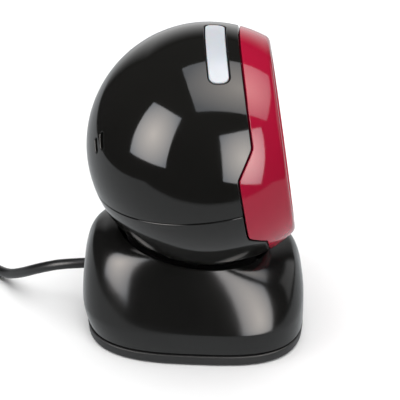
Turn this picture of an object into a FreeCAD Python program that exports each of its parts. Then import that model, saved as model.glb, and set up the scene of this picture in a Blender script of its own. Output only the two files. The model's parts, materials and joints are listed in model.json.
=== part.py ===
# Desktop presentation scanner: a ball head that tilts in the cup of a square base.
# Millimetres. +Z is up, the head looks along -Y, and the origin is on the table under the base.
import FreeCAD, Part
import math
import os

import Sketcher

V = FreeCAD.Vector
doc = FreeCAD.newDocument("presentation_scanner")

# ---------------------------------------------------------------- driving dimensions
DIMENSIONS = [
    ("head_radius", 56.5), ("head_y", -7.3), ("head_z", 93.5), ("head_rake", 8.5),
    ("wall", 2.5), ("gap", 0.4), ("bezel_gap", 0.8),
    ("front_plane", 34.6), ("seam_plane", 22.0), ("cheek_plane", 14.0),
    ("cheek_top", 19.4), ("cheek_high", 7.6), ("cheek_low", -25.0), ("cheek_base", -31.0),
    ("lower_seam", -10.0),
    ("window_radius", 39.5), ("opening_radius", 37.5), ("window_recess", 2.6),
    ("window_thick", 2.0),
    ("bar_plane", 11.1), ("bar_width", 8.8), ("bar_far_angle", -10.0), ("bar_near_angle", 35.5),
    ("slot_width", 2.2), ("slot_lean", 35.0),
    ("bezel_screw_circle", 43.2), ("post_screw_circle", 11.5),
    ("axle_radius", 3.0), ("axle_play", 0.05), ("lug_inner", 12.0), ("lug_thick", 3.0),
    ("post_radius", 7.0), ("post_bore", 4.0), ("travel_slot_width", 16.0),
    ("chassis_plane", 14.0), ("chassis_thick", 2.0),
    ("base_depth", 53.2), ("base_width", 46.0), ("base_power", 3.05), ("wide_level", 17.0),
    ("base_taper", 0.085), ("top_width", 33.6), ("top_power", 2.35),
    ("foot_level", 0.4), ("plate_top", 5.4), ("cover_bottom", 5.8),
    ("cup_radius", 58.2), ("cup_half_angle", 38.5), ("cup_wall", 2.0),
    ("ballast_side", 64.0), ("ballast_thick", 7.0),
    ("cord_diameter", 5.0), ("cord_exit_level", 29.2),
    ("coil_mean", 28.5), ("coil_x", 17.0), ("coil_y", 141.0), ("coil_lift", 1.0),
    ("plug_width", 16.0), ("plug_thick", 8.0), ("plug_grip", 26.0),
    ("plug_shell_width", 12.0), ("plug_shell_thick", 4.5), ("plug_shell_length", 12.0),
]
sheet = doc.addObject("Spreadsheet::Sheet", "Sizes")
for row, (alias, cell) in enumerate(DIMENSIONS, start=1):
    sheet.set("A%d" % row, alias)
    sheet.set("B%d" % row, str(cell))
    sheet.setAlias("B%d" % row, alias)
doc.recompute()


class Size:
    """A number that remembers the sheet formula it came from."""

    def __init__(self, value, text=None):
        self.value = float(value)
        self.text = text or "(%.6f)" % value

    def _join(self, other, sign, value):
        other = as_size(other)
        return Size(value, "(%s %s %s)" % (self.text, sign, other.text))

    def __add__(self, other):
        return self._join(other, "+", self.value + as_size(other).value)

    def __sub__(self, other):
        return self._join(other, "-", self.value - as_size(other).value)

    def __mul__(self, other):
        return self._join(other, "*", self.value * as_size(other).value)

    def __truediv__(self, other):
        return self._join(other, "/", self.value / as_size(other).value)

    def __neg__(self):
        return Size(-self.value, "(-1 * %s)" % self.text)


def as_size(thing):
    return thing if isinstance(thing, Size) else Size(thing)


def number(thing):
    return as_size(thing).value


def root(size):
    return Size(math.sqrt(size.value), "sqrt(%s)" % size.text)


class Sheet:
    """Reads the sheet's cells by name, each as a Size."""

    def __getattr__(self, alias):
        return Size(sheet.get(alias), "Sizes.%s" % alias)


d = Sheet()


# ---------------------------------------------------------------- helpers
def bind(thing, **sizes):
    """Sets properties of a feature, each from the sheet where its size comes from there."""
    for prop, size in sizes.items():
        if isinstance(size, Size):
            thing.setExpression(prop, size.text)
        else:
            setattr(thing, prop, size)
    return thing


def place(thing, x=0, y=0, z=0, axis=None, angle=0):
    """Moves a feature to a point, turned about an axis, with its coordinates bound to the sheet."""
    turn = FreeCAD.Rotation(V(*axis), number(angle)) if axis else FreeCAD.Rotation()
    thing.Placement = FreeCAD.Placement(V(number(x), number(y), number(z)), turn)
    for letter, size in (("x", x), ("y", y), ("z", z)):
        if isinstance(size, Size):
            thing.setExpression("Placement.Base.%s" % letter, size.text)
    if isinstance(angle, Size):
        thing.setExpression("Placement.Rotation.Angle", angle.text + " * 1deg")
    return thing


def primitive(kind, name, **sizes):
    return bind(doc.addObject("Part::" + kind, name), **sizes)


def ball(name, radius):
    return primitive("Sphere", name, Radius=radius)


def block(name, size_x, size_y, size_z, x=0, y=0, z=0):
    """A box centred on x and y, standing on z."""
    made = primitive("Box", name, Length=as_size(size_x), Width=as_size(size_y), Height=as_size(size_z))
    return place(made, as_size(x) - as_size(size_x) / 2, as_size(y) - as_size(size_y) / 2, as_size(z))


def leaning_block(name, size_x, size_y, size_z, x, y, z, turn):
    """A box that starts at a corner, then leans about the Y axis through the origin."""
    made = primitive("Box", name, Length=as_size(size_x), Width=as_size(size_y), Height=as_size(size_z))
    lean = FreeCAD.Placement(V(0, 0, 0), FreeCAD.Rotation(V(0, 1, 0), turn))
    made.Placement = lean * FreeCAD.Placement(V(x, number(y), z), FreeCAD.Rotation())
    return made


AXES = {"Z": (None, 0), "X": ((0, 1, 0), 90), "Y": ((1, 0, 0), -90), "-Y": ((1, 0, 0), 90)}


def rod(name, radius, length, x=0, y=0, z=0, along="Z"):
    """A cylinder that starts at a point and runs along an axis."""
    axis, angle = AXES[along]
    made = primitive("Cylinder", name, Radius=as_size(radius), Height=as_size(length))
    return place(made, x, y, z, axis, angle)


def cut(name, base, tool):
    made = doc.addObject("Part::Cut", name)
    made.Base, made.Tool = base, tool
    return made


def common(name, base, tool):
    made = doc.addObject("Part::Common", name)
    made.Base, made.Tool = base, tool
    return made


def fuse(name, *parts):
    made = doc.addObject("Part::MultiFuse", name)
    made.Shapes = list(parts)
    return made


def group(name, *parts):
    """Separate solids that share one node."""
    made = doc.addObject("Part::Compound", name)
    made.Links = list(parts)
    return made


def new_body(name):
    return doc.addObject("PartDesign::Body", name)


def new_sketch(body, plane, name, level=None):
    """A sketch on one of the body's own origin planes, raised to a level along the plane's normal."""
    drawing = body.newObject("Sketcher::SketchObject", name)
    support = [f for f in body.Origin.OriginFeatures if f.Role == plane + "_Plane"][0]
    drawing.AttachmentSupport = [(support, "")]
    drawing.MapMode = "FlatFace"
    if level is not None:
        drawing.AttachmentOffset = FreeCAD.Placement(V(0, 0, number(level)), FreeCAD.Rotation())
        drawing.setExpression("AttachmentOffset.Base.z", as_size(level).text)
    return drawing


def constrain(drawing, kind, value, *where):
    index = drawing.addConstraint(Sketcher.Constraint(kind, *where, number(value)))
    drawing.setExpression("Constraints[%d]" % index, as_size(value).text)


def draw_outline(drawing, corners):
    """A closed outline of straight lines, with every corner held by the sheet."""
    points = [V(number(x), number(y), 0) for x, y in corners]
    count = len(points)
    first = drawing.GeometryCount
    for i in range(count):
        drawing.addGeometry(Part.LineSegment(points[i], points[(i + 1) % count]), False)
    for i in range(count):
        following = first + (i + 1) % count
        drawing.addConstraint(Sketcher.Constraint("Coincident", first + i, 2, following, 1))
    for i, (x, y) in enumerate(corners):
        constrain(drawing, "DistanceX", x, -1, 1, first + i, 1)
        constrain(drawing, "DistanceY", y, -1, 1, first + i, 1)


def draw_circle(drawing, radius, x=0, y=0):
    made = drawing.addGeometry(Part.Circle(V(number(x), number(y), 0), V(0, 0, 1), number(radius)), False)
    constrain(drawing, "DistanceX", x, -1, 1, made, 3)
    constrain(drawing, "DistanceY", y, -1, 1, made, 3)
    constrain(drawing, "Radius", radius, made)


def pad(body, drawing, length, midplane=False, backwards=False):
    made = body.newObject("PartDesign::Pad", drawing.Name + "_pad")
    made.Profile = drawing
    made.Midplane = midplane
    made.Reversed = backwards
    made.setExpression("Length", as_size(length).text)
    body.Tip = made
    return made


def pocket(body, drawing, length, midplane=False, backwards=False):
    made = body.newObject("PartDesign::Pocket", drawing.Name + "_pocket")
    made.Profile = drawing
    made.Midplane = midplane
    made.Reversed = backwards
    made.setExpression("Length", as_size(length).text)
    body.Tip = made
    return made


def revolve(body, drawing, kind="Revolution"):
    """Turns a sketch a full circle about its own upright axis."""
    made = body.newObject("PartDesign::" + kind, drawing.Name + "_turned")
    made.Profile = drawing
    made.ReferenceAxis = (drawing, ["V_Axis"])
    made.Angle = 360
    body.Tip = made
    return made


nodes = {}


def node(thing, name):
    """Names a finished sub-part."""
    thing.Label = name
    nodes[name] = thing
    return thing


def in_head(thing, name):
    """A finished sub-part of the head, drawn about the ball's centre and raked back with the head."""
    if thing.TypeId in ("Part::Box", "Part::Cylinder"):
        thing = group(name + "_part", thing)
    place(thing, 0, d.head_y, d.head_z, (1, 0, 0), -d.head_rake)
    return node(thing, name)


# ---------------------------------------------------------------- head shells
REACH = 70
REAR_BOSS = (18, 31)
SLOT_REACH = 40
# Each sound slot's (distance from the middle, level, length).
SOUND_SLOTS = ((25.65, 22.0, 7.9), (22.35, 18.4, 6.9))


def side_block(name, corners):
    """A block right across the head, whose outline is drawn as (along Y, along Z)."""
    body = new_body(name)
    drawing = new_sketch(body, "YZ", name + "_outline")
    draw_outline(drawing, corners)
    pad(body, drawing, 2 * REACH, midplane=True)
    return body


def head_wall(name, outline):
    """The part of the ball's wall inside an outline."""
    outer = ball(name + "_outer", d.head_radius)
    inner = ball(name + "_inner", d.head_radius - d.wall)
    return common(name + "_wall", cut(name + "_hollow", outer, inner), outline)


def light_bar_form(name, grow, inner_radius, outer_radius):
    """A rounded bar that curves over the ball: a ring sector with a round pin at each end."""
    half = d.bar_width / 2 + grow
    end_turn = math.degrees(number(d.bar_width) / 2 / number(d.head_radius))
    first = number(d.bar_far_angle) + end_turn
    last = number(d.bar_near_angle) - end_turn
    wedge = primitive("Cylinder", name + "_wedge", Radius=as_size(outer_radius), Height=half * 2)
    wedge.Angle = last - first
    along_y = FreeCAD.Rotation(V(1, 0, 0), -90)
    start = FreeCAD.Rotation(V(0, 1, 0), -90 - last)
    wedge.Placement = FreeCAD.Placement(V(0, -number(d.bar_plane) - number(half), 0), start * along_y)
    core = rod(name + "_core", inner_radius, half * 2 + 2, 0, -d.bar_plane - half - 1, 0, "Y")
    parts = [cut(name + "_sector", wedge, core)]
    for word, turn in (("far", first), ("near", last)):
        pin = primitive("Cylinder", name + "_" + word, Radius=half)
        pin.Height = number(outer_radius) - number(inner_radius)
        lean = FreeCAD.Rotation(V(0, 1, 0), -turn)
        foot = lean.multVec(V(0, 0, number(inner_radius))) + V(0, -number(d.bar_plane), 0)
        pin.Placement = FreeCAD.Placement(foot, lean)
        parts.append(pin)
    return fuse(name, *parts)


def sound_slots(name):
    """Four rounded slots through the back of the ball. Each pair leans in towards the top."""
    made = []
    width, lean = number(d.slot_width), number(d.slot_lean)
    for side in (-1, 1):
        for row, (x, level, length) in enumerate(SOUND_SLOTS):
            straight = length - width
            middle = block("%s_%d_%d" % (name, side + 1, row), width, SLOT_REACH, straight,
                           0, 0, -straight / 2)
            ends = [rod("%s_end_%d_%d_%d" % (name, side + 1, row, end), width / 2, SLOT_REACH, 0,
                        -SLOT_REACH / 2, end * straight / 2, "Y") for end in (-1, 1)]
            slot = fuse("%s_slot_%d_%d" % (name, side + 1, row), middle, *ends)
            made.append(place(slot, side * x, SLOT_REACH, level, (0, 1, 0), -side * lean))
    return fuse(name, *made)


def boss_pair(name, radius, bore, length, x, y, z, along):
    """Two screw bosses, one on each side, and their bores."""
    outer, inner = [], []
    for side in (-1, 1):
        outer.append(rod("%s_%d" % (name, side + 1), radius, length, side * x, y, z, along))
        inner.append(rod("%s_bore_%d" % (name, side + 1), bore, length + 0.02, side * x, y, z, along))
    return outer, inner


def make_rear_shell():
    edge = -d.seam_plane + d.bezel_gap
    cheek = -d.cheek_plane + d.bezel_gap
    bottom = d.lower_seam + d.gap / 2
    outline = side_block("rear_outline", [
        (edge, REACH), (edge, d.cheek_top), (cheek, d.cheek_high), (cheek, bottom),
        (REACH, bottom), (REACH, REACH)])
    wall = head_wall("rear", outline)
    chassis_back = -d.chassis_plane + d.chassis_thick
    bosses, bores = boss_pair("rear_boss", 3.4, 1.1, 54, REAR_BOSS[0], chassis_back, REAR_BOSS[1], "Y")
    inside = ball("rear_boss_limit", d.head_radius - d.wall / 2)
    kept = common("rear_bosses", fuse("rear_boss_rods", *bosses), inside)
    shell = fuse("rear_with_bosses", wall, kept)
    for bore in bores:
        bore.Height = 14
    openings = fuse("rear_openings", light_bar_form("bar_slot", 0.35, 50, 60),
                    sound_slots("sound_slots"), *bores)
    in_head(cut("rear_shell_cut", shell, openings), "rear_shell")


def make_lower_shell():
    """The black lower shell, with the slot that the tilt post passes through."""
    edge = -d.seam_plane + d.bezel_gap
    cheek = -d.cheek_plane + d.bezel_gap
    top = d.lower_seam - d.gap / 2
    outline = side_block("lower_outline", [
        (cheek, top), (REACH, top), (REACH, -REACH), (edge, -REACH), (edge, d.cheek_base),
        (cheek, d.cheek_low)])
    wall = head_wall("lower", outline)
    slot_body = new_body("travel_slot")
    drawing = new_sketch(slot_body, "YZ", "travel_slot_outline")
    forward, rearward = math.radians(14), math.radians(39)
    draw_outline(drawing, [(0, 0), (-REACH * math.tan(forward), -REACH),
                           (REACH * math.tan(rearward), -REACH)])
    pad(slot_body, drawing, d.travel_slot_width, midplane=True)
    bosses, bores = boss_pair("lower_boss", 3.4, 1.1, 15.9, 22, 4, -50, "Z")
    limit = ball("lower_boss_limit", d.head_radius - d.wall / 2)
    kept = common("lower_bosses", fuse("lower_boss_rods", *bosses), limit)
    shell = fuse("lower_with_bosses", wall, kept)
    recesses = [rod("lower_recess_%d" % (side + 1), 3, 10, side * 22, 4, -57, "Z") for side in (-1, 1)]
    openings = fuse("lower_openings", slot_body, *bores, *recesses)
    in_head(cut("lower_shell_cut", shell, openings), "lower_shell")


def screw_circle(radius):
    """Four places on a circle, between the axes."""
    turns = [math.radians(45 + 90 * index) for index in range(4)]
    return [(radius * math.cos(turn), radius * math.sin(turn)) for turn in turns]


def make_bezel():
    """The coloured front ring. A cheek reaches back on each side, over the two black shells."""
    outline = side_block("bezel_outline", [
        (-d.seam_plane, REACH), (-REACH, REACH), (-REACH, -REACH), (-d.seam_plane, -REACH),
        (-d.seam_plane, d.cheek_base), (-d.cheek_plane, d.cheek_low),
        (-d.cheek_plane, d.cheek_high), (-d.seam_plane, d.cheek_top)])
    front_cut = block("bezel_front_cut", 2 * REACH, REACH, 2 * REACH, 0, -d.front_plane - REACH / 2, -REACH)
    ring = cut("bezel_ring", head_wall("bezel", outline), front_cut)
    body = new_body("bezel_lip")
    drawing = new_sketch(body, "XY", "bezel_lip_profile")
    outer_front = root(d.head_radius * d.head_radius - d.front_plane * d.front_plane)
    lip_back = -d.front_plane + d.window_recess
    seat_back = lip_back + d.window_thick
    draw_outline(drawing, [
        (d.opening_radius + 2.2, -d.front_plane), (outer_front, -d.front_plane),
        (outer_front + 1.4, -d.front_plane + 3.0), (outer_front + 1.4, seat_back),
        (d.window_radius + 0.3, seat_back), (d.window_radius + 0.3, lip_back),
        (d.opening_radius, lip_back)])
    revolve(body, drawing)
    bosses = []
    bores = []
    back = -number(d.chassis_plane)
    for index, (x, z) in enumerate(screw_circle(number(d.bezel_screw_circle))):
        bosses.append(rod("bezel_boss_%d" % index, 3.2, 14.6, x, back, z, "-Y"))
        bores.append(rod("bezel_bore_%d" % index, 1.1, 9, x, back + 0.01, z, "-Y"))
    whole = fuse("bezel_whole", ring, body, *bosses)
    in_head(cut("bezel_cut", whole, fuse("bezel_bores", *bores)), "front_bezel")


make_rear_shell()
make_lower_shell()
make_bezel()


# ---------------------------------------------------------------- window, light bar and optics
def disc_in_head(name, radius, thick, y, bore=None):
    """A turned disc that faces forward, from y back towards the chassis."""
    body = new_body(name + "_body")
    drawing = new_sketch(body, "XZ", name + "_profile", -as_size(y))
    draw_circle(drawing, radius)
    if bore is not None:
        draw_circle(drawing, bore)
    pad(body, drawing, thick, backwards=True)
    return in_head(body, name)


window_front = -d.front_plane + d.window_recess
window_back = window_front + d.window_thick
disc_in_head("scan_window", d.window_radius, d.window_thick, window_front)
disc_in_head("window_gasket", d.window_radius, 1.0, window_back, d.window_radius - 3)

light_pipe = light_bar_form("pipe_form", 0, 52.6, 60)
in_head(common("light_pipe_cut", ball("pipe_ball", d.head_radius), light_pipe), "led_light_pipe")

baffle_body = new_body("baffle_body")
baffle = new_sketch(baffle_body, "XY", "baffle_profile")
baffle_front = window_back + 1.0
baffle_back = -d.chassis_plane - 8.8
draw_outline(baffle, [(34.0, baffle_back), (35.4, baffle_back), (39.0, baffle_front), (37.6, baffle_front)])
revolve(baffle_body, baffle)
in_head(baffle_body, "window_baffle")


def board(name, width, height, thick, y, z, holes):
    """A circuit board that faces forward. Holes are (radius, x, z)."""
    body = new_body(name + "_body")
    drawing = new_sketch(body, "XZ", name + "_outline", -as_size(y))
    low, high = as_size(z) - as_size(height) / 2, as_size(z) + as_size(height) / 2
    half = as_size(width) / 2
    draw_outline(drawing, [(-half, low), (half, low), (half, high), (-half, high)])
    for radius, x, hole_z in holes:
        draw_circle(drawing, radius, x, hole_z)
    pad(body, drawing, thick, backwards=True)
    return in_head(body, name)


engine_z = 6
board_front = -d.chassis_plane - 8.6
board("illumination_board", 56, 34, 1.6, board_front, engine_z, [(7.0, 0, engine_z), (2.6, 11.5, engine_z)])
leds = []
for index, (x, z) in enumerate([(-22, -5), (-22, 5), (-13, 11), (22, -5), (22, 5), (-13, -11)]):
    leds.append(block("flood_led_%d" % index, 3.5, 1.4, 3.5, x, board_front - 0.7, engine_z + z - 1.75))
in_head(group("flood_led_group", *leds), "illumination_leds")

housing = block("engine_block", 32, 6.6, 24, 0, -d.chassis_plane - 3.5, engine_z - 12)
in_head(housing, "scan_engine_housing")
lens_back = -d.chassis_plane - 6.8
barrel = cut("lens_ring", rod("lens_outer", 6, 6.4, 0, lens_back, engine_z, "-Y"),
             rod("lens_inner", 4.6, 4.0, 0, lens_back - 3.0, engine_z, "-Y"))
in_head(barrel, "engine_lens_barrel")
in_head(rod("engine_glass", 4.55, 1.6, 0, lens_back - 3.0, engine_z, "-Y"), "engine_lens")
in_head(rod("aimer_rod", 2.2, 4.2, 11.5, lens_back, engine_z, "-Y"), "aimer_lens")

chassis = new_body("chassis_body")
plate = new_sketch(chassis, "XZ", "chassis_plate", d.chassis_plane)
bezel_screw_places = screw_circle(number(d.bezel_screw_circle))
side = bezel_screw_places[0][0] + 4
draw_outline(plate, [(-side, -side), (side, -side), (side, side), (-side, side)])
for x, z in bezel_screw_places:
    draw_circle(plate, 1.4, x, z)
for side_x in (-REAR_BOSS[0], REAR_BOSS[0]):
    draw_circle(plate, 1.4, side_x, REAR_BOSS[1])
pad(chassis, plate, d.chassis_thick, backwards=True)
lugs = new_sketch(chassis, "YZ", "chassis_lugs")
lug_front = -d.chassis_plane + 1.0
draw_outline(lugs, [(lug_front, -11), (9, -8), (9, 8), (lug_front, 11)])
lug_outer = d.lug_inner + d.lug_thick
pad(chassis, lugs, lug_outer * 2, midplane=True)
between = new_sketch(chassis, "YZ", "chassis_between")
back_face = -d.chassis_plane + d.chassis_thick
draw_outline(between, [(back_face, -12), (12, -12), (12, 12), (back_face, 12)])
pocket(chassis, between, d.lug_inner * 2, midplane=True)
axle_bore = new_sketch(chassis, "YZ", "chassis_axle_bore")
draw_circle(axle_bore, d.axle_radius + d.axle_play)
pocket(chassis, axle_bore, lug_outer * 2 + 2, midplane=True)
flange = new_sketch(chassis, "XY", "chassis_flange", -34.0)
draw_outline(flange, [(-27, lug_front), (27, lug_front), (27, 9), (17, 9), (17, back_face + 1),
                      (-17, back_face + 1), (-17, 9), (-27, 9)])
for side_x in (-22, 22):
    draw_circle(flange, 1.4, side_x, 4)
pad(chassis, flange, d.chassis_thick)
in_head(chassis, "head_chassis")


def screws(name, places, along, head_radius=2.4, thread=1.08, length=9.0, head=1.8):
    """Identical pan-head screws: (x, y, z) is under the head, and the thread runs along the axis."""
    made = []
    backwards = {"Y": "-Y", "-Y": "Y", "Z": "-Z"}[along]
    for index, (x, y, z) in enumerate(places):
        stem = rod("%s_stem_%d" % (name, index), thread, length, x, y, z, along)
        if backwards == "-Z":
            top = rod("%s_head_%d" % (name, index), head_radius, head, x, y, as_size(z) - head, "Z")
        else:
            top = rod("%s_head_%d" % (name, index), head_radius, head, x, y, z, backwards)
        drive_turn = primitive("Prism", "%s_drive_%d" % (name, index), Polygon=6,
                               Circumradius=as_size(1.1), Height=as_size(1.0))
        if backwards == "-Z":
            place(drive_turn, x, y, as_size(z) - head)
        else:
            sign = 1 if backwards == "Y" else -1
            reach = head if sign > 0 else -head
            axis, angle = AXES["-Y" if sign > 0 else "Y"]
            place(drive_turn, x, as_size(y) + reach, z, axis, angle)
        made.append(cut("%s_%d" % (name, index), fuse("%s_whole_%d" % (name, index), stem, top), drive_turn))
    return group(name + "_group", *made)


behind_chassis = [(x, back_face, z) for x, z in bezel_screw_places]
in_head(screws("bezel_screw", behind_chassis, "-Y"), "bezel_screws")
in_head(screws("shell_screw", [(-22, 4, -48.6), (22, 4, -48.6)], "Z", length=16.5), "lower_shell_screws")
rear_places = [(side_x, -d.chassis_plane, REAR_BOSS[1]) for side_x in (-REAR_BOSS[0], REAR_BOSS[0])]
in_head(screws("rear_screw", rear_places, "Y"), "rear_shell_screws")

in_head(block("main_board_block", 64, 1.6, 30, 0, 20, -7), "main_board")
chips = [block("chip_%d" % index, wide, 1.8, tall, x, 20.8 + 0.9, z) for index, (x, z, wide, tall) in
         enumerate([(-14, 4, 14, 14), (8, 10, 9, 9), (22, 12, 6, 5), (8, -4, 12, 6)])]
in_head(group("chip_group", *chips), "board_chips")
stand_offs = [rod("stand_off_%d" % index, 2.2, 31.2, x, back_face, z, "Y")
              for index, (x, z) in enumerate([(-29, -4), (29, -4), (-29, 20), (29, 20)])]
in_head(group("stand_off_group", *stand_offs), "board_standoffs")
in_head(rod("beeper_can", 5.5, 5, 22, 20.8, 4, "Y"), "beeper")

STRIP_LEAN = -12.8
led_strip = leaning_block("led_strip", 24, 7, 1.2, -12, -d.bar_plane - 3.5, 47.6, STRIP_LEAN)
in_head(led_strip, "led_board")
status = [leaning_block("status_led_%d" % index, 3, 2.6, 1.2, -9.5 + 8 * index, -d.bar_plane - 1.3,
                        48.8, STRIP_LEAN) for index in range(3)]
in_head(group("status_group", *status), "status_leds")

ribbon_body = new_body("ribbon_body")
ribbon = new_sketch(ribbon_body, "YZ", "ribbon_path")
low, high = 38.6, 39.0
draw_outline(ribbon, [(-13.8, 36.6), (-13.4, 36.6), (-13.4, low), (19.6, low), (19.6, 38.05), (20.0, 38.05),
                      (20.0, high), (-13.8, high)])
pad(ribbon_body, ribbon, 12, midplane=True)
in_head(ribbon_body, "flex_ribbon")


# ---------------------------------------------------------------- tilt joint
def on_axle(name, radius, bore, length, x):
    body = new_body(name + "_body")
    drawing = new_sketch(body, "YZ", name + "_profile", x)
    draw_circle(drawing, radius)
    draw_circle(drawing, bore)
    pad(body, drawing, length)
    return place(body, 0, d.head_y, d.head_z)


eye_half = 9.0
post = new_body("post_body")
foot = new_sketch(post, "XY", "post_foot", d.plate_top)
draw_circle(foot, 15)
for x, y in screw_circle(number(d.post_screw_circle)):
    draw_circle(foot, 1.6, x, y)
pad(post, foot, 3.0)
column = new_sketch(post, "XY", "post_column", d.plate_top + 2.5)
draw_circle(column, d.post_radius)
pad(post, column, d.head_z - d.plate_top - 2.5)
eye = new_sketch(post, "YZ", "post_eye", -eye_half)
draw_circle(eye, 7.6, 0, d.head_z)
pad(post, eye, 2 * eye_half)
hollow = new_sketch(post, "XY", "post_hollow", d.plate_top)
draw_circle(hollow, d.post_bore)
pocket(post, hollow, d.head_z - d.plate_top - 9, backwards=True)
bore_sketch = new_sketch(post, "YZ", "post_axle_bore")
draw_circle(bore_sketch, d.axle_radius, 0, d.head_z)
pocket(post, bore_sketch, 30, midplane=True)
lead_hole = new_sketch(post, "XZ", "post_lead_hole")
draw_circle(lead_hole, 3.6, 0, 22)
pocket(post, lead_hole, 20)
place(post, 0, d.head_y, 0)
node(post, "tilt_post")

axle_end = 19.0
axle = new_body("axle_body")
axle_profile = new_sketch(axle, "YZ", "axle_profile", -axle_end)
draw_circle(axle_profile, d.axle_radius)
pad(axle, axle_profile, 2 * axle_end)
axle_head = new_sketch(axle, "YZ", "axle_head_profile", -axle_end - 2.4)
draw_circle(axle_head, 5.4)
pad(axle, axle_head, 2.4)
place(axle, 0, d.head_y, d.head_z)
node(axle, "tilt_axle")

washer_bore = d.axle_radius + 0.05
inner_wide = d.lug_inner - eye_half - 0.2
washers = [on_axle("washer_left", 7.2, washer_bore, inner_wide, -d.lug_inner + 0.1),
           on_axle("washer_right", 7.2, washer_bore, inner_wide, eye_half + 0.1)]
node(group("washer_group", *washers), "friction_washers")
node(on_axle("spring_washer_ring", 6.2, washer_bore, 1.0, lug_outer + 0.1), "spring_washer")
nut_body = new_body("nut_body")
nut = new_sketch(nut_body, "YZ", "nut_profile", lug_outer + 1.2)
draw_outline(nut, [(6.0 * math.cos(math.radians(60 * i)), 6.0 * math.sin(math.radians(60 * i)))
                   for i in range(6)])
draw_circle(nut, d.axle_radius)
pad(nut_body, nut, 2.6)
place(nut_body, 0, d.head_y, d.head_z)
node(nut_body, "axle_nut")


# ---------------------------------------------------------------- base shells
cup_turn = math.radians(number(d.head_rake))
rim_distance = number(d.cup_radius) * math.cos(math.radians(number(d.cup_half_angle)))
rim_radius = number(d.cup_radius) * math.sin(math.radians(number(d.cup_half_angle)))
rim_y = number(d.head_y) + rim_distance * math.sin(cup_turn)
rim_z = number(d.head_z) - rim_distance * math.cos(cup_turn)


def rounded_square(depth, width, power, centre_y, level, slope=0.0):
    """A closed superellipse, a little wider at the front. A slope tips it up towards the rear."""
    points = []
    steps = 48
    taper = number(d.base_taper)
    for i in range(steps):
        turn = 2 * math.pi * i / steps
        c, s = math.cos(turn), math.sin(turn)
        x = width * math.copysign(abs(c) ** (2 / power), c)
        along = math.copysign(abs(s) ** (2 / power), s)
        y = centre_y + depth * along
        points.append(V(x * (1 - taper * along), y, level + slope * (y - centre_y)))
    curve = Part.BSplineCurve()
    curve.interpolate(points, PeriodicFlag=True)
    return Part.Wire([curve.toShape()])


def base_form(inset, bottom):
    """The base's outside as a loft: the sides lean in to the cup's raked rim, the front and rear curl in late."""
    depth, width = number(d.base_depth) - inset, number(d.base_width) - inset
    power, wide = number(d.base_power), number(d.wide_level)
    top_depth, top_width = rim_radius - inset * 0.6, number(d.top_width) - inset * 0.6
    sections = [rounded_square(depth - 1.2, width - 1.2, power, -1.2, bottom),
                rounded_square(depth - 0.4, width - 0.4, power, -0.5, (bottom + wide) / 2)]
    for share in (0.0, 0.25, 0.45, 0.62, 0.76, 0.86, 0.93, 0.97, 1.0, 1.04):
        front_inward = 0.35 * share ** 2 + 0.65 * share ** 10
        side_inward = share ** 1.15
        section_power = power + (number(d.top_power) - power) * share ** 2
        level = wide + (rim_z - inset - wide) * share
        sections.append(rounded_square(
            depth + (top_depth - depth) * front_inward, width + (top_width - width) * side_inward,
            section_power, rim_y * share, level, math.tan(cup_turn) * share))
    return Part.makeLoft(sections, True, False)


def form_feature(name, shape):
    made = doc.addObject("Part::Feature", name)
    made.Shape = shape
    return made


def cup_ball(name, radius):
    return place(ball(name, radius), 0, d.head_y, d.head_z)


outside = form_feature("base_outside", base_form(0.0, number(d.cover_bottom)))
inside = form_feature("base_inside", base_form(number(d.wall), number(d.cover_bottom) - 0.01))
cover_hollow = cut("cover_hollow", outside, inside)
# This ball is a little larger than the cup, so it crosses the cover's wall and not its rim edge.
cover_cup = cut("cover_cup", cover_hollow, cup_ball("cover_cup_ball", d.cup_radius + 0.3))
exit_hole = rod("cord_hole", 4.2, 20, 0, 40, d.cord_exit_level, "Y")
corner_x, corner_y, foot_x, foot_y = 31.0, 36.0, 22.0, 38.0
SIGNS = [(-1, -1), (1, -1), (1, 1), (-1, 1)]
cover_screw_places = [(sx * corner_x, sy * corner_y) for sx, sy in SIGNS]
foot_places = [(sx * foot_x, sy * foot_y) for sx, sy in SIGNS]
post_screw_places = [(x, number(d.head_y) + y) for x, y in screw_circle(number(d.post_screw_circle))]
cover_bosses = []
cover_bores = []
for index, (x, y) in enumerate(cover_screw_places):
    cover_bosses.append(rod("cover_boss_%d" % index, 3.6, 30, x, y, d.cover_bottom + 0.2))
    cover_bores.append(rod("cover_bore_%d" % index, 1.1, 12, x, y, d.cover_bottom))
kept_bosses = common("cover_bosses", fuse("cover_boss_rods", *cover_bosses),
                     form_feature("cover_limit", base_form(1.2, number(d.cover_bottom))))
cover = cut("cover_cut", fuse("cover_whole", cover_cup, kept_bosses),
            fuse("cover_openings", exit_hole, *cover_bores))
node(cover, "base_cover")

plate_centre = -1.0
plate_wire_top = rounded_square(number(d.base_depth) - 0.9, number(d.base_width) - 0.6,
                                number(d.base_power), plate_centre, number(d.plate_top))
plate_wire_bottom = rounded_square(number(d.base_depth) - 1.3, number(d.base_width) - 1.0,
                                   number(d.base_power), plate_centre, number(d.foot_level))
plate_solid = form_feature("plate_form", Part.makeLoft([plate_wire_bottom, plate_wire_top], True, True))
plate_holes = []
foot_height, cover_screw_level, post_screw_level = 1.6, 3.0, 2.8
for index, (x, y) in enumerate(cover_screw_places):
    plate_holes.append(rod("plate_hole_%d" % index, 1.4, 8, x, y, 0))
    plate_holes.append(rod("plate_recess_%d" % index, 3.0, cover_screw_level, x, y, 0))
for index, (x, y) in enumerate(foot_places):
    plate_holes.append(rod("foot_recess_%d" % index, 6.0, foot_height, x, y, 0))
for index, (x, y) in enumerate(post_screw_places):
    plate_holes.append(rod("post_hole_%d" % index, 1.4, 8, x, y, 0))
    plate_holes.append(rod("post_recess_%d" % index, 3.0, post_screw_level, x, y, 0))
node(cut("plate_cut", plate_solid, fuse("plate_openings", *plate_holes)), "base_bottom_plate")

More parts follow.
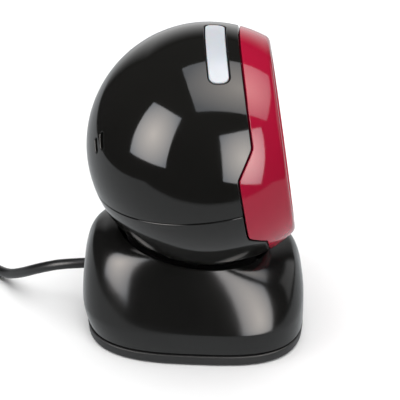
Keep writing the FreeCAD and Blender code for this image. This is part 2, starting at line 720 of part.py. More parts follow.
feet = [rod("foot_%d" % index, 5.9, foot_height, x, y, 0) for index, (x, y) in enumerate(foot_places)]
node(group("feet_group", *feet), "rubber_feet")
cover_screws = [(x, y, cover_screw_level) for x, y in cover_screw_places]
node(screws("cover_screw", cover_screws, "Z", length=9.0), "base_screws")
post_screws = [(x, y, post_screw_level) for x, y in post_screw_places]
node(screws("post_screw", post_screws, "Z", thread=1.35, length=5.0), "post_screws")

# The cradle is the dark dish under the head. Its stem rests on the ballast.
cup_shell = cut("cup_shell", cup_ball("cup_outer", d.cup_radius + d.cup_wall),
                cup_ball("cup_inner", d.cup_radius))
dish_top = rim_distance + 5.4
dish_limit = rod("dish_limit", 60, 40, 0, 0, -dish_top - 40)
place(dish_limit, 0, number(d.head_y) + (dish_top + 40) * math.sin(cup_turn),
      number(d.head_z) - (dish_top + 40) * math.cos(cup_turn), (1, 0, 0), d.head_rake)
dish = common("dish", cup_shell, dish_limit)
ballast_top = d.cover_bottom + d.ballast_thick + 0.4
stem = rod("dish_stem", 13, 26, 0, d.head_y, ballast_top)
stem_kept = cut("dish_stem_kept", stem, cup_ball("dish_stem_ball", d.cup_radius + 0.5))
dish_whole = fuse("dish_whole", dish, stem_kept)
dish_bores = fuse("dish_bores", rod("dish_bore", 9.5, 60, 0, d.head_y, ballast_top - 1),
                  rod("dish_lead", 3.5, 20, 0, d.head_y + 5, 22, "Y"))
node(cut("dish_cut", dish_whole, dish_bores), "cup_liner")

ballast_body = new_body("ballast_body")
ballast = new_sketch(ballast_body, "XY", "ballast_outline", d.cover_bottom + 0.2)
half_side = d.ballast_side / 2
draw_outline(ballast, [(-half_side, -half_side), (half_side, -half_side), (half_side, half_side),
                       (-half_side, half_side)])
draw_circle(ballast, 16, 0, d.head_y)
for sx in (-1, 1):
    draw_circle(ballast, 1.8, sx * 27, 26)
pad(ballast_body, ballast, d.ballast_thick)
node(ballast_body, "ballast_plate")

board_z = 16.0
board_base = block("interface_block", 30, 20, 1.6, 0, 24, board_z)
node(board_base, "interface_board")
pillar_foot = d.cover_bottom + d.ballast_thick + 0.2
pillars = [rod("pillar_%d" % index, 2.0, board_z - number(pillar_foot), x, y, pillar_foot)
           for index, (x, y) in enumerate([(-12, 17), (12, 17), (12, 31), (-12, 31)])]
node(group("pillar_group", *pillars), "board_pillars")
node(block("header_block", 12, 6, 4.4, 0, 30.6, board_z + 1.6), "cord_header")
node(block("interface_chip_block", 6, 6, 1.4, -7, 21, board_z + 1.6), "interface_chip")


# ---------------------------------------------------------------- leads and the cord
def tube_path(points):
    """Straight runs joined by arcs as large as the runs allow. Prints the smallest bend."""
    corners = [V(*p) for p in points]
    edges = []
    here = corners[0]
    radii = []
    for before, at, after in zip(corners, corners[1:], corners[2:]):
        back, ahead = (before - at), (after - at)
        shorter = min(back.Length, ahead.Length)
        back.normalize()
        ahead.normalize()
        turn = math.pi - back.getAngle(ahead)
        reach = 0.45 * shorter
        radii.append(reach / math.tan(turn / 2))
        start, finish = at + back * reach, at + ahead * reach
        inward = back + ahead
        inward.normalize()
        middle = at + inward * (reach * (1 - math.cos(turn / 2)) / math.sin(turn / 2))
        if turn > 1e-3:
            edges.append(Part.LineSegment(here, start).toShape())
            edges.append(Part.Arc(start, middle, finish).toShape())
            here = finish
    edges.append(Part.LineSegment(here, corners[-1]).toShape())
    return Part.Wire(edges), radii


def tube(name, points, diameter):
    """A round tube along a path, checked against its section times its length."""
    path, radii = tube_path(points)
    start = path.Edges[0].Vertexes[0].Point
    direction = (V(*points[1]) - V(*points[0])).normalize()
    ring = Part.Wire([Part.Circle(V(start), direction, diameter / 2).toShape()])
    solid = path.makePipeShell([ring], True, False)
    expected = math.pi * diameter ** 2 / 4 * path.Length
    print("%s: length %.1f, radii %s, volume ratio %.4f"
          % (name, path.Length, [round(r, 1) for r in radii], solid.Volume / expected))
    return node(form_feature(name + "_form", solid), name)


cord_size = number(d.cord_diameter)
exit_z = number(d.cord_exit_level)
harness_y = number(d.head_y)
tube("post_harness", [(0, 13.8, 22), (0, harness_y, 22), (0, harness_y, 80)], 3.0)
tube("cord_inside", [(0, 42.6, exit_z), (0, 35.5, exit_z), (0, 32, 22.4)], 3.4)

grommet_body = new_body("grommet_body")
grommet = new_sketch(grommet_body, "XZ", "grommet_inner", -42.6)
draw_circle(grommet, 4.1, 0, exit_z)
draw_circle(grommet, cord_size / 2, 0, exit_z)
pad(grommet_body, grommet, 8.6, backwards=True)
collar = new_sketch(grommet_body, "XZ", "grommet_collar", -44.8)
draw_circle(collar, 6.0, 0, exit_z)
draw_circle(collar, cord_size / 2, 0, exit_z)
pad(grommet_body, collar, 2.2)
node(grommet_body, "cord_grommet")

coil_x, coil_y = number(d.coil_x), number(d.coil_y)
coil_outer = number(d.coil_mean) + cord_size
entry_x = coil_x + coil_outer
coil_level = number(d.coil_lift) + cord_size / 2
CORD_ROUTE = [
    (0, 42.6, exit_z), (0, 61, exit_z), (7.5, 76, 21.5), (17, 85, 13), (29.5, 94.5, 4.4),
    (43.5, 106, cord_size / 2), (entry_x - 1, 120, coil_level - 0.6),
    (entry_x, coil_y - 8.5, coil_level), (entry_x, coil_y, coil_level)]
tube("cord_tube", CORD_ROUTE, cord_size)

coil_body = new_body("coil_body")
coil = new_sketch(coil_body, "XY", "coil_section", d.coil_lift)
draw_circle(coil, d.coil_mean + d.cord_diameter * 1.5, d.coil_x, d.coil_y)
draw_circle(coil, d.coil_mean - d.cord_diameter * 1.5, d.coil_x, d.coil_y)
pad(coil_body, coil, d.cord_diameter * 3)
node(coil_body, "cord_coil")

tail_y = coil_y + coil_outer
plug_z = number(d.plug_thick) / 2
tail_end = coil_x - 35
tube("cord_tail", [(coil_x + 2, tail_y, coil_level + 2 * cord_size), (coil_x - 9, tail_y, coil_level + 8),
                   (coil_x - 23, tail_y, plug_z), (tail_end, tail_y, plug_z)], cord_size)

grip = block("plug_grip_block", d.plug_grip, d.plug_width, d.plug_thick,
             tail_end - number(d.plug_grip) / 2, tail_y, 0)
node(grip, "usb_plug_grip")
shell_start = tail_end - number(d.plug_grip) - number(d.plug_shell_length) / 2
shell_z = plug_z - number(d.plug_shell_thick) / 2
shell_outer = block("plug_shell_outer", d.plug_shell_length, d.plug_shell_width, d.plug_shell_thick,
                    shell_start, tail_y, shell_z)
shell_inner = block("plug_shell_inner", d.plug_shell_length + 2, d.plug_shell_width - 0.8,
                    d.plug_shell_thick - 0.8, shell_start, tail_y, shell_z + 0.4)
node(cut("plug_shell_cut", shell_outer, shell_inner), "usb_plug_shell")
tongue = block("plug_tongue_block", d.plug_shell_length - 1, d.plug_shell_width - 0.8, 1.8,
               shell_start + 0.5, tail_y, shell_z + 0.4)
node(tongue, "usb_plug_tongue")

tie_place = coil_x - number(d.coil_mean) + 0.2
tie_outer = block("tie_outer", 17.4, 8, 17.0, tie_place, coil_y, 0.1)
tie_inner = block("tie_inner", 15.8, 10, 15.2, tie_place, coil_y, 0.9)
node(cut("tie_cut", tie_outer, tie_inner), "cord_tie")


# ---------------------------------------------------------------- checks and files
doc.recompute()
for thing in doc.Objects:
    if "Invalid" in thing.State or "Error" in thing.State:
        raise RuntimeError("%s failed: %s" % (thing.Name, thing.State))
for name, thing in nodes.items():
    if thing.Shape.isNull() or not thing.Shape.isValid() or not thing.Shape.Solids:
        raise RuntimeError("%s has no valid solid" % name)
os.makedirs("parts", exist_ok=True)
for name, thing in nodes.items():
    thing.Shape.exportStep("parts/%s.step" % name)
    box = thing.Shape.BoundBox
    print("%-22s %d solids %9.0f mm3  x %.1f..%.1f y %.1f..%.1f z %.1f..%.1f" % (
        name, len(thing.Shape.Solids), thing.Shape.Volume,
        box.XMin, box.XMax, box.YMin, box.YMax, box.ZMin, box.ZMax))
print(len(nodes), "nodes")
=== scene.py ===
"""A desktop presentation barcode scanner: gloss black ball head, crimson bezel, weighted base and USB cord.

The design's own millimetres are used for every shape, and MM turns them into Blender's metres.
"""
import json
import math

import bmesh
import bpy
from mathutils import Matrix, Vector


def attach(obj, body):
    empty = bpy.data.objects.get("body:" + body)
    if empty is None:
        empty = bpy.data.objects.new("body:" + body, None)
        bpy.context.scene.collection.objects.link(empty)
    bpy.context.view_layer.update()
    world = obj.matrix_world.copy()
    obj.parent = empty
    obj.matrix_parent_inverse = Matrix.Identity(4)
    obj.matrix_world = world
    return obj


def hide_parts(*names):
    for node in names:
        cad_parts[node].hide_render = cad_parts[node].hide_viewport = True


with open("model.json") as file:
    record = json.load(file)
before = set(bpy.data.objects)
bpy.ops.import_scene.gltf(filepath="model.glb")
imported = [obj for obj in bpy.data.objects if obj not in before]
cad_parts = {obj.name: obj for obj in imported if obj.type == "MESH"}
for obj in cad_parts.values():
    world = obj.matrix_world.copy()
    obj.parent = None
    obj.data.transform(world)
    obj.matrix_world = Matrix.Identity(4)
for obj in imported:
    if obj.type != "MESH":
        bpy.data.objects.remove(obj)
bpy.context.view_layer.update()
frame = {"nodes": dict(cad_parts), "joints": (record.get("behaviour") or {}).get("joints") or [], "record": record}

MM = 0.001
AXES = (Vector((1, 0, 0)), Vector((0, 1, 0)), Vector((0, 0, 1)))

# ---------------------------------------------------------------- the design's dimensions, in mm
BALL_CENTRE = Vector(frame["joints"][0]["pos_m"]) / MM
BALL_RADIUS = 56.5
RAKE = math.radians(8.5)
WALL = 2.5
SEAM_GAP = 0.4
BEZEL_GAP = 0.8
BAR_GAP = 0.5
FRONT_PLANE = 34.6
FRONT_ROUNDING = 4.0
SEAM_PLANE = 22.0
CHEEK_PLANE = 14.0
CHEEK = (19.4, 7.6, -25.0, -31.0)
LOWER_SEAM = -10.0
OPENING_RADIUS = 37.5
WINDOW_RADIUS = 39.5
WINDOW_FRONT = 32.0
BAR_PLANE = 11.1
BAR_WIDTH = 8.8
BAR_DEPTH = 3.8
BAR_ANGLES = (-10.0, 35.5)
# Each sound slot's (distance from the middle, level, length).
SLOTS = ((25.65, 22.0, 7.9), (22.35, 18.4, 6.9))
SLOT_WIDTH = 2.2
SLOT_LEAN = math.radians(35)
BASE_DEPTH, BASE_WIDTH, BASE_POWER, BASE_TAPER = 53.2, 46.0, 3.05, 0.085
TOP_WIDTH, TOP_POWER = 33.6, 2.35
COVER_BOTTOM, WIDE_LEVEL, PLATE_BOTTOM, PLATE_TOP = 5.8, 17.0, 0.4, 5.4
SIGNS = ((-1, -1), (1, -1), (1, 1), (-1, 1))
COVER_SCREWS = [Vector((31.0 * sx, 36.0 * sy, 0)) for sx, sy in SIGNS]
FEET = [Vector((22.0 * sx, 38.0 * sy, 0)) for sx, sy in SIGNS]
CUP_RADIUS = 58.2
CUP_HALF_ANGLE = math.radians(38.5)
CORD = 5.0
CORD_LEVEL = 29.2
CORD_START = 42.6
COIL_CENTRE = Vector((17.0, 141.0, 0.0))
COIL_RADII = (23.5, 28.5, 33.5)
COIL_ROWS = (3.5, 8.5, 13.5)

HEAD_PLACE = Matrix.Translation(BALL_CENTRE) @ Matrix.Rotation(-RAKE, 4, "X")
# Turned pieces stand on +Z: this one turns them to the head's front.
FRONT_PLACE = HEAD_PLACE @ Matrix.Rotation(math.pi / 2, 4, "X")

# The edge radii of the thick pieces, and how sharp a bend is shaded as an edge.
SHELL_EDGE, BEZEL_EDGE, BAR_EDGE, COVER_EDGE = 0.4, 0.35, 0.6, 0.8
SHARP_BEND = math.radians(32)
# What a region's distance says where the region doesn't reach.
FAR_OFF = 50.0


def put(name, data):
    """A new object in the scene."""
    made = bpy.data.objects.new(name, data)
    bpy.context.scene.collection.objects.link(made)
    return made


# ---------------------------------------------------------------- camera
def make_camera():
    """Looks along +X at the scanner's side, from above."""
    pitch, heading = 0.513, -0.008
    camera = put("camera", bpy.data.cameras.new("camera"))
    camera.data.lens = 146.7
    camera.data.sensor_width = 36.0
    camera.location = (-0.6714, 0.0020, 0.4419)
    camera.rotation_euler = (math.pi / 2 - pitch, 0, heading - math.pi / 2)
    bpy.context.scene.camera = camera


make_camera()


# ---------------------------------------------------------------- materials
PLASTIC_IOR = 1.5


def new_material(name):
    material = bpy.data.materials.new(name)
    material.use_nodes = True
    tree = material.node_tree
    return material, tree, tree.nodes["Principled BSDF"]


def add_node(tree, kind, **values):
    """A node with its properties and, by socket name, its inputs set."""
    made = tree.nodes.new("ShaderNode" + kind)
    for key, value in values.items():
        if hasattr(made, key):
            setattr(made, key, value)
        else:
            made.inputs[key.replace("_", " ")].default_value = value
    return made


def object_noise(tree, scale, detail=3.0, stretch=(1, 1, 1)):
    """Noise in the object's own metres, with scale in features per metre."""
    place = add_node(tree, "TexCoord")
    mapping = add_node(tree, "Mapping", Scale=stretch)
    tree.links.new(place.outputs["Object"], mapping.inputs["Vector"])
    noise = add_node(tree, "TexNoise", Scale=scale, Detail=detail)
    tree.links.new(mapping.outputs["Vector"], noise.inputs["Vector"])
    return noise.outputs["Fac"]


def ranged(tree, source, low, high, start=0.3, end=0.7):
    """Maps a 0..1 pattern between start and end to low..high."""
    made = add_node(tree, "MapRange", From_Min=start, From_Max=end, To_Min=low, To_Max=high)
    tree.links.new(source, made.inputs["Value"])
    return made.outputs["Result"]


def blended(tree, source, first, second):
    """A colour between two, following a pattern."""
    made = add_node(tree, "Mix", data_type="RGBA")
    made.inputs["A"].default_value = (*first, 1)
    made.inputs["B"].default_value = (*second, 1)
    tree.links.new(ranged(tree, source, 0, 1, 0.35, 0.65), made.inputs["Factor"])
    return made.outputs["Result"]


def add_bump(tree, shader, source, depth):
    made = add_node(tree, "Bump", Strength=1.0, Distance=depth)
    tree.links.new(source, made.inputs["Height"])
    tree.links.new(made.outputs["Normal"], shader.inputs["Normal"])


def moulded(name, colour, rough, grain=0.0, grain_scale=1500, metallic=0.0, shade=0.85):
    """Moulded or cast stock: slightly uneven colour and gloss, with a fine surface grain."""
    material, tree, shader = new_material(name)
    shader.inputs["Metallic"].default_value = metallic
    shader.inputs["IOR"].default_value = PLASTIC_IOR
    patches = object_noise(tree, 45)
    darker = tuple(part * shade for part in colour)
    tree.links.new(blended(tree, patches, darker, colour), shader.inputs["Base Color"])
    tree.links.new(ranged(tree, object_noise(tree, 90, 5), rough[0], rough[1]), shader.inputs["Roughness"])
    if grain:
        add_bump(tree, shader, object_noise(tree, grain_scale, 4), grain)
    return material


def brushed(name, colour, rough, stretch):
    """Machined metal with fine lines across the stretched axes."""
    material, tree, shader = new_material(name)
    shader.inputs["Metallic"].default_value = 1.0
    lines = object_noise(tree, 220, 6, stretch)
    darker = tuple(part * 0.75 for part in colour)
    tree.links.new(blended(tree, lines, darker, colour), shader.inputs["Base Color"])
    tree.links.new(ranged(tree, lines, rough[0], rough[1]), shader.inputs["Roughness"])
    add_bump(tree, shader, lines, 0.00003)
    return material


def gloss_shell(name, colour, deeper, rough=(0.05, 0.09)):
    """Polished or satin injection moulding, with a trace of flow unevenness and handling."""
    material, tree, shader = new_material(name)
    shader.inputs["IOR"].default_value = PLASTIC_IOR
    tree.links.new(blended(tree, object_noise(tree, 25), deeper, colour), shader.inputs["Base Color"])
    handling = object_noise(tree, 55, 6)
    tree.links.new(ranged(tree, handling, rough[0], rough[1]), shader.inputs["Roughness"])
    add_bump(tree, shader, object_noise(tree, 160, 1), 0.000012)
    return material


def window_acrylic():
    """Dark red tinted acrylic, polished, that the optics show through."""
    material, tree, shader = new_material("window_dark")
    shader.inputs["Transmission Weight"].default_value = 0.92
    shader.inputs["IOR"].default_value = 1.49
    tree.links.new(blended(tree, object_noise(tree, 20), (0.16, 0.012, 0.014), (0.2, 0.016, 0.018)),
                   shader.inputs["Base Color"])
    tree.links.new(ranged(tree, object_noise(tree, 70, 5), 0.02, 0.05), shader.inputs["Roughness"])
    return material


def diffuser():
    """The milky light bar."""
    material, tree, shader = new_material("light_bar")
    shader.inputs["Subsurface Weight"].default_value = 0.3
    shader.inputs["Subsurface Scale"].default_value = 0.003
    tree.links.new(blended(tree, object_noise(tree, 60), (0.47, 0.495, 0.53), (0.48, 0.505, 0.54)),
                   shader.inputs["Base Color"])
    tree.links.new(ranged(tree, object_noise(tree, 120, 4), 0.2, 0.22), shader.inputs["Roughness"])
    return material


def lens_glass():
    material, tree, shader = new_material("lens_glass")
    shader.inputs["Transmission Weight"].default_value = 0.75
    shader.inputs["IOR"].default_value = 1.52
    shader.inputs["Coat Weight"].default_value = 0.6
    shader.inputs["Coat Tint"].default_value = (0.55, 0.5, 1.0, 1)
    tree.links.new(blended(tree, object_noise(tree, 300), (0.3, 0.36, 0.6), (0.4, 0.45, 0.7)),
                   shader.inputs["Base Color"])
    tree.links.new(ranged(tree, object_noise(tree, 500), 0.02, 0.05), shader.inputs["Roughness"])
    return material


def woven():
    """Hook and loop tape: short loops over a dark weave."""
    material, tree, shader = new_material("tie_fabric")
    shader.inputs["Sheen Weight"].default_value = 0.5
    loops = object_noise(tree, 2600, 3)
    tree.links.new(blended(tree, loops, (0.012, 0.012, 0.013), (0.05, 0.05, 0.052)),
                   shader.inputs["Base Color"])
    tree.links.new(ranged(tree, loops, 0.75, 0.95), shader.inputs["Roughness"])
    add_bump(tree, shader, loops, 0.0004)
    return material


MATERIALS = {
    "shell_black": gloss_shell("shell_black", (0.0082, 0.0080, 0.0072), (0.0072, 0.0070, 0.0064)),
    "cover_black": gloss_shell("cover_black", (0.0078, 0.0077, 0.007), (0.007, 0.0069, 0.0064),
                               (0.14, 0.18)),
    "bezel_crimson": gloss_shell("bezel_crimson", (0.36, 0.0065, 0.032), (0.33, 0.006, 0.028)),
    "inner_black": moulded("inner_black", (0.012, 0.012, 0.012), (0.4, 0.55), 0.00006, 2200),
    "window_dark": window_acrylic(),
    "light_bar": diffuser(),
    "foam_black": moulded("foam_black", (0.015, 0.015, 0.015), (0.85, 0.95), 0.0003, 2500),
    "foot_rubber": moulded("foot_rubber", (0.02, 0.02, 0.021), (0.6, 0.75), 0.00008, 1800),
    "chassis_alloy": moulded("chassis_alloy", (0.5, 0.51, 0.52), (0.4, 0.55), 0.00008, 2400, 1.0),
    "zinc_steel": brushed("zinc_steel", (0.6, 0.61, 0.62), (0.25, 0.4), (1, 1, 1)),
    "ballast_steel": moulded("ballast_steel", (0.03, 0.03, 0.032), (0.45, 0.6), 0.0001, 900),
    "axle_steel": brushed("axle_steel", (0.62, 0.62, 0.63), (0.18, 0.3), (0.2, 3, 3)),
    "washer_nylon": moulded("washer_nylon", (0.62, 0.6, 0.55), (0.35, 0.5), 0.00003),
    "board_green": moulded("board_green", (0.012, 0.09, 0.035), (0.25, 0.4), 0.00004, 700, 0.0, 0.6),
    "chip_black": moulded("chip_black", (0.018, 0.018, 0.019), (0.5, 0.65), 0.00004, 3000),
    "lamp_white": moulded("lamp_white", (0.8, 0.78, 0.62), (0.12, 0.2)),
    "lens_glass": lens_glass(),
    "brass": brushed("brass", (0.62, 0.44, 0.17), (0.25, 0.35), (3, 0.2, 3)),
    "connector_white": moulded("connector_white", (0.72, 0.7, 0.62), (0.35, 0.5), 0.00003),
    "cable_black": moulded("cable_black", (0.010, 0.010, 0.0105), (0.3, 0.4), 0.00004, 1400),
    "ribbon_orange": moulded("ribbon_orange", (0.42, 0.15, 0.02), (0.25, 0.35), 0.00002),
    "plug_nickel": brushed("plug_nickel", (0.72, 0.72, 0.70), (0.16, 0.28), (4, 0.4, 1)),
    "tie_fabric": woven(),
}


def paint(piece, slot):
    piece.data.materials.clear()
    piece.data.materials.append(MATERIALS[slot])


for part in frame["record"]["subparts"]:
    cad_piece = frame["nodes"][part["node"]]
    cad_piece.data.materials.clear()
    cad_piece.data.materials.append(MATERIALS[part["material_slot"]])


# ---------------------------------------------------------------- mesh tools
def add_piece(name, body, slot, points, faces, normals=None, place=None, replaces=()):
    """A finished piece from points in mm. Its place turns the head's own axes into the frame's."""
    place = place or Matrix.Identity(4)
    turn = place.to_3x3()
    mesh = bpy.data.meshes.new(name)
    mesh.from_pydata([(place @ point) * MM for point in points], [], faces)
    mesh.validate()
    mesh.shade_smooth()
    if normals:
        mesh.normals_split_custom_set_from_vertices([(turn @ normal).normalized() for normal in normals])
    else:
        mesh.set_sharp_from_angle(angle=SHARP_BEND)
    piece = put(name, mesh)
    paint(piece, slot)
    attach(piece, body)
    if replaces:
        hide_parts(*replaces)
    return piece


def surface_slope(keep, point, normal):
    """How fast keep changes along the surface, as a vector in it."""
    step = 0.02
    slope = Vector([(keep(point + axis * step) - keep(point - axis * step)) / (2 * step) for axis in AXES])
    return slope - normal * slope.dot(normal)


class Surface:
    """A smooth surface: a rough mesh of parameter points, and what each one stands for."""

    def __init__(self, mesh, point, normal):
        self.mesh, self.point, self.normal = mesh, point, normal

    def room(self, place, keep):
        """The distance along the surface from a place to where keep reaches 0."""
        point, normal = self.point(place), self.normal(place)
        return keep(point) / max(surface_slope(keep, point, normal).length, 0.2)

    def refine(self, keep, reach, rounds):
        """Splits the edges near keep = 0, finer each round."""
        for _ in range(rounds):
            near = [edge for edge in self.mesh.edges
                    if abs(keep(self.point((edge.verts[0].co + edge.verts[1].co) / 2))) < reach]
            bmesh.ops.subdivide_edges(self.mesh, edges=near, cuts=1)
            wide = [face for face in self.mesh.faces if len(face.verts) > 3]
            bmesh.ops.triangulate(self.mesh, faces=wide)
            reach *= 0.5

    def trim(self, keep, margin):
        """Cuts the mesh off along the line that lies margin inside keep = 0."""
        left = {vert: self.room(vert.co, keep) - margin for vert in self.mesh.verts}
        for edge in list(self.mesh.edges):
            start, end = edge.verts
            low, high = left[start], left[end]
            if (low < 0) == (high < 0):
                continue
            near, far, share = 0.0, 1.0, low / (low - high)
            for _ in range(4):
                value = self.room(start.co.lerp(end.co, share), keep) - margin
                if (value < 0) == (low < 0):
                    near, low = share, value
                else:
                    far, high = share, value
                share = near + (far - near) * low / (low - high) if low != high else (near + far) / 2
            share = min(max(share, 0.001), 0.999)
            made = bmesh.utils.edge_split(edge, start, share)[1]
            left[made] = 0.0
        for face in list(self.mesh.faces):
            marked = [vert for vert in face.verts if left[vert] == 0.0]
            if len(marked) == 2 and len(face.verts) > 3:
                bmesh.utils.face_split(face, marked[0], marked[1])
        gone = [face for face in self.mesh.faces if min(left[vert] for vert in face.verts) < 0]
        bmesh.ops.delete(self.mesh, geom=gone, context="FACES")

    def thick(self, keep, radius, wall, open_edge=None):
        """Points, faces and normals of a wall under this surface, with rounded edges towards keep = 0."""
        steps = 6
        self.mesh.verts.index_update()
        verts = list(self.mesh.verts)
        outer = [self.point(vert.co) for vert in verts]
        normals = [self.normal(vert.co) for vert in verts]
        points, directions = list(outer), list(normals)
        faces = [[vert.index for vert in face.verts] for face in self.mesh.faces]
        inner = len(points)
        points += [point - normal * wall for point, normal in zip(outer, normals)]
        directions += [-normal for normal in normals]
        faces += [[inner + vert.index for vert in reversed(face.verts)] for face in self.mesh.faces]
        rims = {}

        def rim(vert):
            if vert.index not in rims:
                point, normal = outer[vert.index], normals[vert.index]
                slope = surface_slope(keep, point, normal)
                out = -slope.normalized()
                ring = [vert.index]
                for step in range(1, steps + 1):
                    turn = step / steps * math.pi / 2
                    points.append(point + out * radius * math.sin(turn)
                                  - normal * radius * (1 - math.cos(turn)))
                    directions.append(normal * math.cos(turn) + out * math.sin(turn))
                    ring.append(len(points) - 1)
                points.append(point + out * radius - normal * wall)
                directions.append(out)
                ring += [len(points) - 1, inner + vert.index]
                rims[vert.index] = ring
            return rims[vert.index]

        for edge in self.mesh.edges:
            if len(edge.link_faces) != 1:
                continue
            middle = (outer[edge.verts[0].index] + outer[edge.verts[1].index]) / 2
            if open_edge and open_edge(middle):
                continue
            loop = edge.link_loops[0]
            first, second = rim(loop.vert), rim(loop.link_loop_next.vert)
            faces += [[second[k], first[k], first[k + 1], second[k + 1]] for k in range(len(first) - 1)]
        self.mesh.free()
        return points, faces, directions


def both(first, second, rounding):
    """Inside both of two regions, with a rounded corner where they meet."""
    corner = math.hypot(max(rounding - first, 0), max(rounding - second, 0))
    return max(rounding, min(first, second)) - corner


def turned(profile, steps=96, closed=False):
    """A lathe about +Z from (radius, height) pairs: points and faces."""
    points, faces = [], []
    count = len(profile)
    for k in range(steps):
        turn = 2 * math.pi * k / steps
        points += [Vector((radius * math.cos(turn), radius * math.sin(turn), height))
                   for radius, height in profile]
    for k in range(steps):
        after = (k + 1) % steps
        for j in range(count if closed else count - 1):
            after_j = (j + 1) % count
            faces.append([k * count + j, after * count + j, after * count + after_j, k * count + after_j])
    return points, faces


def filleted(corners, radius, closed=False, steps=5):
    """A flat outline with its corners rounded. A radius may be one number or one for each corner."""
    rounded = []
    count = len(corners)
    radii = radius if isinstance(radius, (list, tuple)) else [radius] * count
    for k, (corner, size) in enumerate(zip(corners, radii)):
        here = Vector(corner)
        if not closed and k in (0, count - 1) or size == 0:
            rounded.append(tuple(here))
            continue
        back = Vector(corners[k - 1]) - here
        ahead = Vector(corners[(k + 1) % count]) - here
        half = back.angle(ahead) / 2
        reach = min(size / math.tan(half), 0.49 * back.length, 0.49 * ahead.length)
        start, end = here + back.normalized() * reach, here + ahead.normalized() * reach
        for step in range(steps + 1):
            share = step / steps
            rounded.append(tuple((start * (1 - share) + here * share) * (1 - share)
                                 + (here * (1 - share) + end * share) * share))
    return rounded


# ---------------------------------------------------------------- regions of the ball, in the head's own axes
def ball_surface():
    mesh = bmesh.new()
    bmesh.ops.create_icosphere(mesh, subdivisions=6, radius=1)
    return Surface(mesh, lambda place: place.normalized() * BALL_RADIUS, lambda place: place.normalized())


def hinge_up(distance, softness):
    """0 before a bend and the distance after it, with a soft corner."""
    return (distance + math.sqrt(distance * distance + softness * softness)) / 2


def seam_plane(z):
    """How far back the crimson bezel reaches at a height: the straight seam, and the cheek on each side."""
    top, high, low, base = CHEEK
    depth = SEAM_PLANE - CHEEK_PLANE
    lower = (hinge_up(z - base, 0.7) - hinge_up(z - low, 0.9)) / (low - base)
    upper = (hinge_up(z - high, 0.9) - hinge_up(z - top, 0.9)) / (top - high)
    return -SEAM_PLANE + depth * (lower - upper)


def behind_seam(point):
    """The distance behind the bezel's seam line."""
    step = 0.05
    slope = (seam_plane(point.z + step) - seam_plane(point.z - step)) / (2 * step)
    return (point.y - seam_plane(point.z)) / math.hypot(1, slope)


def bar_distance(point):
    """The distance outside the light bar's outline."""
    if point.z < 0:
        return FAR_OFF
    turn = math.degrees(math.atan2(-point.x, point.z))
    middle, half_turn = sum(BAR_ANGLES) / 2, (BAR_ANGLES[1] - BAR_ANGLES[0]) / 2
    along = math.radians(abs(turn - middle)) * BALL_RADIUS
    across = abs(point.y + BAR_PLANE)
    corner = 0.78 * BAR_WIDTH / 2
    past_end = along - math.radians(half_turn) * BALL_RADIUS + corner
    past_side = across - BAR_WIDTH / 2 + corner
    return math.hypot(max(past_end, 0), max(past_side, 0)) + min(max(past_end, past_side), 0) - corner


def slot_distance(point):
    """The distance outside the nearest sound slot at the back."""
    if point.y < 0:
        return FAR_OFF
    found = []
    c, s = math.cos(SLOT_LEAN), math.sin(SLOT_LEAN)
    for x, z, length in SLOTS:
        outward, upward = abs(point.x) - x, point.z - z
        along, across = upward * c - outward * s, outward * c + upward * s
        found.append(math.hypot(across, max(abs(along) - (length - SLOT_WIDTH) / 2, 0)) - SLOT_WIDTH / 2)
    return min(found)


SHELL_CORNER = 0.6
POST_SLOT_HALF = 8
POST_SLOT_FRONT, POST_SLOT_REAR = math.tan(math.radians(14)), math.tan(math.radians(39))


def rear_region(point):
    shell = both(behind_seam(point) - BEZEL_GAP, point.z - LOWER_SEAM - SEAM_GAP / 2, SHELL_CORNER)
    return min(shell, bar_distance(point) - BAR_GAP, slot_distance(point))


def lower_region(point):
    shell = both(behind_seam(point) - BEZEL_GAP, LOWER_SEAM - SEAM_GAP / 2 - point.z, SHELL_CORNER)
    slot = max(abs(point.x) - POST_SLOT_HALF, point.z * POST_SLOT_FRONT - point.y,
               point.y + point.z * POST_SLOT_REAR)
    return min(shell, slot) if point.z < 0 else shell


def trimmed_ball(region, edge):
    """The ball's skin inside a region, with a fine mesh along the region's line."""
    surface = ball_surface()
    surface.refine(region, 2.4, 3)
    surface.trim(region, edge)
    return surface


def make_shell(name, region):
    surface = trimmed_ball(region, SHELL_EDGE)
    points, faces, normals = surface.thick(region, SHELL_EDGE, WALL)
    add_piece(name, "head", "shell_black", points, faces, normals, HEAD_PLACE, [name.replace("_visual", "")])


def spaced(start, end, steps):
    return [start + (end - start) * step / steps for step in range(steps + 1)]


# The front's rounding is an arc inside the ball's skin: its middle, and the turn where it leaves the skin.
ROUNDING_LEVEL = FRONT_PLANE - FRONT_ROUNDING
ROUNDING_RADIUS = math.sqrt((BALL_RADIUS - FRONT_ROUNDING) ** 2 - ROUNDING_LEVEL ** 2)
ROUNDING_TURN = math.atan2(ROUNDING_LEVEL, ROUNDING_RADIUS)
LIP_TURN = ROUNDING_TURN - 1.6 / BALL_RADIUS
LIP_LEVEL = BALL_RADIUS * math.sin(LIP_TURN)


def bezel_region(point):
    return min(-behind_seam(point), point.y + LIP_LEVEL + BEZEL_EDGE)


def on_lip_edge(point):
    return point.y < -LIP_LEVEL + 0.2


